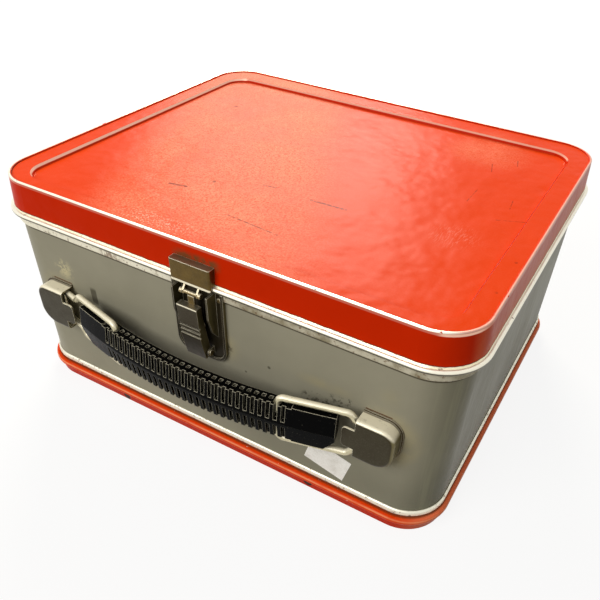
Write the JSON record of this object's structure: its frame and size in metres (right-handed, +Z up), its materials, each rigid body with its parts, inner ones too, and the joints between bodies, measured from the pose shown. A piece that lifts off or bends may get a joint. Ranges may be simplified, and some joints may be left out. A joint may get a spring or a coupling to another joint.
{
  "type": "lunch box with vacuum flask",
  "caption": "Flat steel lunch box with hinged lid, snap latch, wire-hung grip and a vacuum flask clamped inside.",
  "frame": {"origin": "middle of the face that the base pan rests on", "axes": "+Z up out of the resting face, X along the long side, -Y towards the latch and handle, +Y towards the hinges"},
  "size_m": [0.2214, 0.2037, 0.105],
  "materials": {
    "lid_paint": "worn orange-red enamel on pressed steel",
    "body_paint": "worn grey enamel on sheet steel",
    "base_paint": "worn orange enamel on pressed steel",
    "nickel_plate": "tarnished nickel plate on pressed steel",
    "bright_nickel": "bright nickel plate on steel wire",
    "hinge_steel": "plated sheet steel",
    "pin_steel": "drawn steel rod",
    "spring_steel": "drawn spring wire",
    "rivet_metal": "headed rivet",
    "grip_plastic": "moulded black plastic, polished by use",
    "paper": "plain gummed paper",
    "flask_paint": "grey enamel on thin steel",
    "flask_plastic": "moulded plastic",
    "cup_plastic": "moulded plastic",
    "stopper_plastic": "moulded plastic",
    "silvered_glass": "silvered double-walled glass",
    "seal_rubber": "moulded rubber"
  },
  "bodies": {
    "box": {"body_band": "body_paint", "base_pan": "base_paint", "hinge_leaves_body": "hinge_steel", "hinge_pins": "pin_steel", "hinge_rivets_body": "rivet_metal", "latch_plate": "nickel_plate", "latch_pin": "pin_steel", "latch_spring": "spring_steel", "latch_rivets": "rivet_metal", "bracket_left": "nickel_plate", "bracket_right": "nickel_plate", "price_sticker": "paper", "flask_base": "flask_plastic", "flask_shell": "flask_paint", "flask_collar": "flask_plastic", "glass_liner": "silvered_glass", "liner_cushion": "seal_rubber", "neck_gasket": "seal_rubber", "clamp_ears": "hinge_steel", "clamp_rivets": "rivet_metal"},
    "lid": {"lid": "lid_paint", "hinge_leaves_lid": "hinge_steel", "hinge_rivets_lid": "rivet_metal", "latch_catch": "nickel_plate", "latch_strike": "bright_nickel", "catch_rivets": "rivet_metal"},
    "latch_lever": {"latch_lever": "nickel_plate", "latch_hook": "nickel_plate"},
    "bail_left": {"left_bail": "bright_nickel"},
    "grip": {"handle_grip": "grip_plastic"},
    "bail_right": {"right_bail": "bright_nickel"},
    "flask_clamp": {"flask_clamp": "spring_steel"},
    "stopper": {"stopper": "stopper_plastic"},
    "cup": {"flask_cup": "cup_plastic"}
  },
  "joints": [
    {"name": "lid_hinge", "type": "hinge", "parent": "box", "child": "lid", "pos_m": [0, 0.0934, 0.0885], "axis": [-1, 0, 0], "range_deg": [0, 110]},
    {"name": "lever_pivot", "type": "hinge", "parent": "box", "child": "latch_lever", "pos_m": [0, -0.0925, 0.0586], "axis": [1, 0, 0], "range_deg": [0, 45], "stiffness_Nm_per_rad": 0.0076, "springref_deg": -28.65},
    {"name": "bail_left_pivot", "type": "hinge", "parent": "box", "child": "bail_left", "pos_m": [-0.0795, -0.091, 0.0495], "axis": [0, 0, -1], "range_deg": [0, 15]},
    {"name": "grip_pivot", "type": "hinge", "parent": "bail_left", "child": "grip", "pos_m": [-0.0375, -0.1013, 0.0495], "axis": [0, 0, -1], "range_deg": [-15, 0]},
    {"name": "bail_right_pivot", "type": "hinge", "parent": "grip", "child": "bail_right", "pos_m": [0.0435, -0.1013, 0.0495], "axis": [0, 0, -1], "range_deg": [-15, 0]},
    {"name": "clamp_pivot", "type": "hinge", "parent": "box", "child": "flask_clamp", "pos_m": [0.03225, 0, 0.006], "axis": [0, -1, 0], "range_deg": [0, 90]},
    {"name": "stopper_turn", "type": "hinge", "parent": "box", "child": "stopper", "pos_m": [0.068, 0.06, 0.0363], "axis": [0, 1, 0], "range_deg": [0, 360]},
    {"name": "cup_turn", "type": "hinge", "parent": "box", "child": "cup", "pos_m": [0.068, 0.06, 0.0363], "axis": [0, 1, 0], "range_deg": [0, 540]}
  ],
  "couplings": [
    {"joint": "grip_pivot", "follows": "bail_left_pivot", "ratio": -1},
    {"joint": "bail_right_pivot", "follows": "bail_left_pivot", "ratio": -1}
  ]
}
